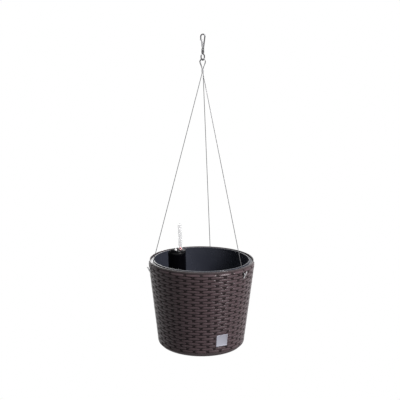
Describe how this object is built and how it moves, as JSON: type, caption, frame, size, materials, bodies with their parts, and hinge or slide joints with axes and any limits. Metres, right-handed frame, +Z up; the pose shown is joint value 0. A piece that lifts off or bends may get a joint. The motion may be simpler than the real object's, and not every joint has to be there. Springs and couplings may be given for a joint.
{
  "type": "self-watering hanging basket",
  "caption": "Round tapered hanging planter with a woven outer face, a lift-out insert, a water reservoir with a float gauge, wire cables and a swivel snap hook",
  "frame": {"origin": "The hanging seat: the inside top of the snap hook's crook, where the support under it touches", "axes": "+Z up, the pot's axis is the Z axis, and the hook's opening side and gate are towards -X"},
  "size_m": [0.2461, 0.2514, 0.7066],
  "materials": {
    "woven_plastic": "dark brown-grey moulded weave, satin",
    "insert_plastic": "glossy black",
    "black_plastic": "black moulded",
    "white_plastic": "white moulded",
    "red_plastic": "signal red",
    "clear_plastic": "clear moulded, slightly frosted",
    "plate_metal": "satin silver, bare",
    "cable_steel": "stranded galvanised wire",
    "sleeve_metal": "pressed aluminium",
    "toggle_steel": "plated steel",
    "hook_chrome": "polished plating",
    "gate_steel": "plated sheet steel"
  },
  "bodies": {
    "hook": {"hook_body": "hook_chrome", "gate_pin": "hook_chrome"},
    "gate": {"hook_gate": "gate_steel", "gate_spring": "gate_steel"},
    "swivel": {"swivel_eye": "hook_chrome"},
    "basket": {"outer_pot": "woven_plastic", "name_plate": "plate_metal", "cable_pair": "cable_steel", "cable_back": "cable_steel", "crimp_sleeve": "sleeve_metal", "toggle_right": "toggle_steel", "toggle_back": "toggle_steel", "toggle_left": "toggle_steel"},
    "insert": {"plant_insert": "insert_plastic"},
    "gauge_unit": {"duct_cap": "black_plastic", "gauge_tube": "clear_plastic", "gauge_guide": "white_plastic", "guide_foot": "white_plastic"},
    "float": {"gauge_float": "white_plastic", "gauge_rod": "white_plastic", "gauge_flag": "red_plastic"},
    "lid": {"fill_lid": "black_plastic", "lid_knob": "white_plastic"}
  },
  "joints": [
    {"name": "gate_hinge", "type": "hinge", "parent": "hook", "child": "gate", "pos_m": [-0.0004, 0, -0.0268], "axis": [0, 1, 0], "range_deg": [0, 18], "stiffness_Nm_per_rad": 0.02, "springref_deg": -20.05},
    {"name": "swivel_turn", "type": "hinge", "parent": "hook", "child": "swivel", "pos_m": [0, 0, -0.036], "axis": [0, 0, 1], "continuous": true},
    {"name": "basket_swing", "type": "hinge", "parent": "swivel", "child": "basket", "pos_m": [0, 0, -0.054], "axis": [0.6428, 0.766, 0], "range_deg": [-30, 30]},
    {"name": "insert_lift", "type": "slide", "parent": "basket", "child": "insert", "axis": [0, 0, 1], "range_m": [0, 0.012]},
    {"name": "gauge_lift", "type": "slide", "parent": "insert", "child": "gauge_unit", "axis": [-0.0346, 0.0503, 0.9981], "range_m": [0, 0.19]},
    {"name": "float_rise", "type": "slide", "parent": "gauge_unit", "child": "float", "axis": [-0.0346, 0.0503, 0.9981], "range_m": [0, 0.045]},
    {"name": "lid_lift", "type": "slide", "parent": "gauge_unit", "child": "lid", "axis": [0, 0, 1], "range_m": [0, 0.03]}
  ]
}
